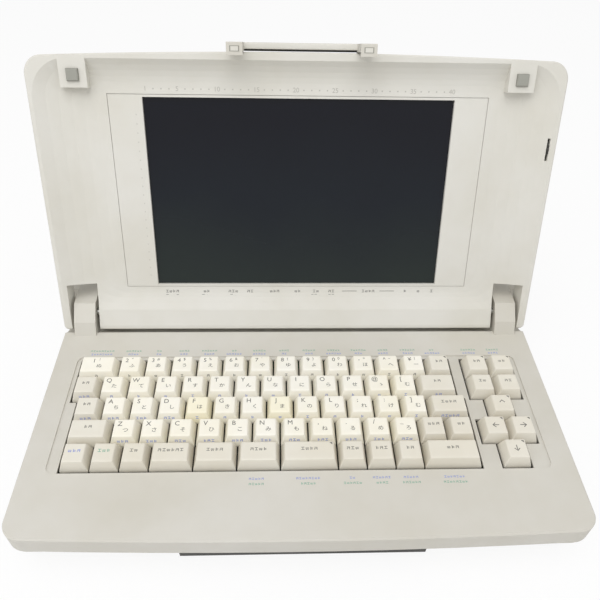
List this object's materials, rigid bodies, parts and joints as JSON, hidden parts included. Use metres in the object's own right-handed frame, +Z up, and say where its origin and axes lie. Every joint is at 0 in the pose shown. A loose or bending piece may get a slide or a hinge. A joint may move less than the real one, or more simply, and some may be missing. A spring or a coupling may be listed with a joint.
{
  "type": "portable electronic word processor",
  "caption": "Portable word processor: recessed keyboard with cursor cluster, hinged lid with a flat display, latch lever, slide-out handle and a rear printer.",
  "frame": {"origin": "centre of the footprint on the table", "axes": "+X to the typist's right, +Y away from the typist, +Z up"},
  "size_m": [0.344, 0.287, 0.2346],
  "materials": {
    "case": "fine matt texture",
    "lid_case": "fine matt texture",
    "key_white": "satin",
    "key_beige": "satin",
    "grey_plastic": "matt",
    "dark_plastic": "matt",
    "display": "glossy",
    "rubber": "matt",
    "board": "solder mask",
    "steel": "plated"
  },
  "bodies": {
    "base": {"top_case": "case", "bottom_case": "case", "rubber_feet": "rubber", "case_screws": "steel", "hinge_brackets": "steel", "key_plate": "dark_plastic", "key_dome_sheet": "rubber", "keyboard_circuit_board": "board", "main_board": "board", "power_board": "board", "power_inlet": "dark_plastic", "printer_chassis": "steel", "guide_rods": "steel"},
    "lid": {"lid_back_shell": "lid_case", "lid_bezel": "lid_case", "lid_inset_panel": "lid_case", "lcd_glass": "display", "lcd_frame": "steel", "inverter_board": "board", "lcd_driver_board": "board", "lid_bumpers": "rubber", "contrast_pot": "dark_plastic", "lid_hinge_plates": "steel"},
    "latch": {"latch_lever": "case"},
    "contrast": {"contrast_wheel": "dark_plastic"},
    "handle": {"carry_handle": "dark_plastic"},
    "platen": {"platen_roller": "rubber", "paper_knob": "grey_plastic"},
    "carriage": {"print_carriage": "dark_plastic", "print_head": "steel", "ribbon_cassette": "grey_plastic"},
    "cover": {"printer_cover": "case"},
    "keyset_numbers": {"keys_numbers": "key_white"},
    "keyset_letters_upper": {"keys_letters_upper": "key_white"},
    "keyset_letters_home": {"keys_letters_home": "key_white"},
    "keyset_letters_lower": {"keys_letters_lower": "key_white"},
    "keycap_tab": {"key_tab": "key_beige"},
    "keycap_caps": {"key_caps": "key_beige"},
    "keycap_shift": {"key_shift": "key_beige"},
    "keycap_backspace": {"key_backspace": "key_beige"},
    "keycap_upper_right": {"key_upper_right": "key_beige"},
    "keycap_enter": {"key_enter": "key_beige"},
    "keyset_lower_right": {"keys_lower_right": "key_beige"},
    "keyset_function": {"keys_function": "key_beige"},
    "keycap_space": {"key_space": "key_beige"},
    "keycap_function_wide": {"key_function_wide": "key_beige"},
    "keyset_edit": {"keys_edit": "key_beige"},
    "keycap_up": {"key_up": "key_beige"},
    "keycap_left": {"key_left": "key_beige"},
    "keycap_right": {"key_right": "key_beige"},
    "keycap_down": {"key_down": "key_beige"}
  },
  "joints": [
    {"name": "lid_hinge", "type": "hinge", "parent": "base", "child": "lid", "pos_m": [0, 0.0337, 0.05535], "axis": [1, 0, 0], "range_deg": [-9, 111]},
    {"name": "latch_swing", "type": "hinge", "parent": "lid", "child": "latch", "pos_m": [0, 0.09946, 0.21649], "axis": [-1, 0, 0], "range_deg": [0, 12], "stiffness_Nm_per_rad": 0.4, "springref_deg": -2.86},
    {"name": "contrast_turn", "type": "hinge", "parent": "lid", "child": "contrast", "pos_m": [0.1666, 0.0764, 0.16728], "axis": [1, 0, 0], "range_deg": [-135, 135]},
    {"name": "handle_slide", "type": "slide", "parent": "base", "child": "handle", "axis": [0, -1, 0], "range_m": [0, 0.03]},
    {"name": "platen_turn", "type": "hinge", "parent": "base", "child": "platen", "pos_m": [0, 0.0997, 0.042], "axis": [1, 0, 0], "continuous": true},
    {"name": "carriage_slide", "type": "slide", "parent": "base", "child": "carriage", "axis": [1, 0, 0], "range_m": [-0.018, 0.138]},
    {"name": "cover_hinge", "type": "hinge", "parent": "base", "child": "cover", "pos_m": [0, 0.1101, 0.063], "axis": [-1, 0, 0], "range_deg": [0, 100]},
    {"name": "keys_numbers_press", "type": "slide", "parent": "base", "child": "keyset_numbers", "axis": [0, 0, -1], "range_m": [0, 0.003], "stiffness_N_per_m": 1950, "springref_m": -0.001},
    {"name": "keys_letters_upper_press", "type": "slide", "parent": "base", "child": "keyset_letters_upper", "axis": [0, 0, -1], "range_m": [0, 0.003], "stiffness_N_per_m": 1800, "springref_m": -0.001},
    {"name": "keys_letters_home_press", "type": "slide", "parent": "base", "child": "keyset_letters_home", "axis": [0, 0, -1], "range_m": [0, 0.003], "stiffness_N_per_m": 1800, "springref_m": -0.001},
    {"name": "keys_letters_lower_press", "type": "slide", "parent": "base", "child": "keyset_letters_lower", "axis": [0, 0, -1], "range_m": [0, 0.003], "stiffness_N_per_m": 1650, "springref_m": -0.001},
    {"name": "key_tab_press", "type": "slide", "parent": "base", "child": "keycap_tab", "axis": [0, 0, -1], "range_m": [0, 0.003], "stiffness_N_per_m": 150, "springref_m": -0.001},
    {"name": "key_caps_press", "type": "slide", "parent": "base", "child": "keycap_caps", "axis": [0, 0, -1], "range_m": [0, 0.003], "stiffness_N_per_m": 150, "springref_m": -0.001},
    {"name": "key_shift_press", "type": "slide", "parent": "base", "child": "keycap_shift", "axis": [0, 0, -1], "range_m": [0, 0.003], "stiffness_N_per_m": 150, "springref_m": -0.001},
    {"name": "key_backspace_press", "type": "slide", "parent": "base", "child": "keycap_backspace", "axis": [0, 0, -1], "range_m": [0, 0.003], "stiffness_N_per_m": 150, "springref_m": -0.001},
    {"name": "key_upper_right_press", "type": "slide", "parent": "base", "child": "keycap_upper_right", "axis": [0, 0, -1], "range_m": [0, 0.003], "stiffness_N_per_m": 150, "springref_m": -0.001},
    {"name": "key_enter_press", "type": "slide", "parent": "base", "child": "keycap_enter", "axis": [0, 0, -1], "range_m": [0, 0.003], "stiffness_N_per_m": 150, "springref_m": -0.001},
    {"name": "keys_lower_right_press", "type": "slide", "parent": "base", "child": "keyset_lower_right", "axis": [0, 0, -1], "range_m": [0, 0.003], "stiffness_N_per_m": 300, "springref_m": -0.001},
    {"name": "keys_function_press", "type": "slide", "parent": "base", "child": "keyset_function", "axis": [0, 0, -1], "range_m": [0, 0.003], "stiffness_N_per_m": 1350, "springref_m": -0.001},
    {"name": "key_space_press", "type": "slide", "parent": "base", "child": "keycap_space", "axis": [0, 0, -1], "range_m": [0, 0.003], "stiffness_N_per_m": 150, "springref_m": -0.001},
    {"name": "key_function_wide_press", "type": "slide", "parent": "base", "child": "keycap_function_wide", "axis": [0, 0, -1], "range_m": [0, 0.003], "stiffness_N_per_m": 150, "springref_m": -0.001},
    {"name": "keys_edit_press", "type": "slide", "parent": "base", "child": "keyset_edit", "axis": [0, 0, -1], "range_m": [0, 0.003], "stiffness_N_per_m": 600, "springref_m": -0.001},
    {"name": "key_up_press", "type": "slide", "parent": "base", "child": "keycap_up", "axis": [0, 0, -1], "range_m": [0, 0.003], "stiffness_N_per_m": 150, "springref_m": -0.001},
    {"name": "key_left_press", "type": "slide", "parent": "base", "child": "keycap_left", "axis": [0, 0, -1], "range_m": [0, 0.003], "stiffness_N_per_m": 150, "springref_m": -0.001},
    {"name": "key_right_press", "type": "slide", "parent": "base", "child": "keycap_right", "axis": [0, 0, -1], "range_m": [0, 0.003], "stiffness_N_per_m": 150, "springref_m": -0.001},
    {"name": "key_down_press", "type": "slide", "parent": "base", "child": "keycap_down", "axis": [0, 0, -1], "range_m": [0, 0.003], "stiffness_N_per_m": 150, "springref_m": -0.001}
  ]
}
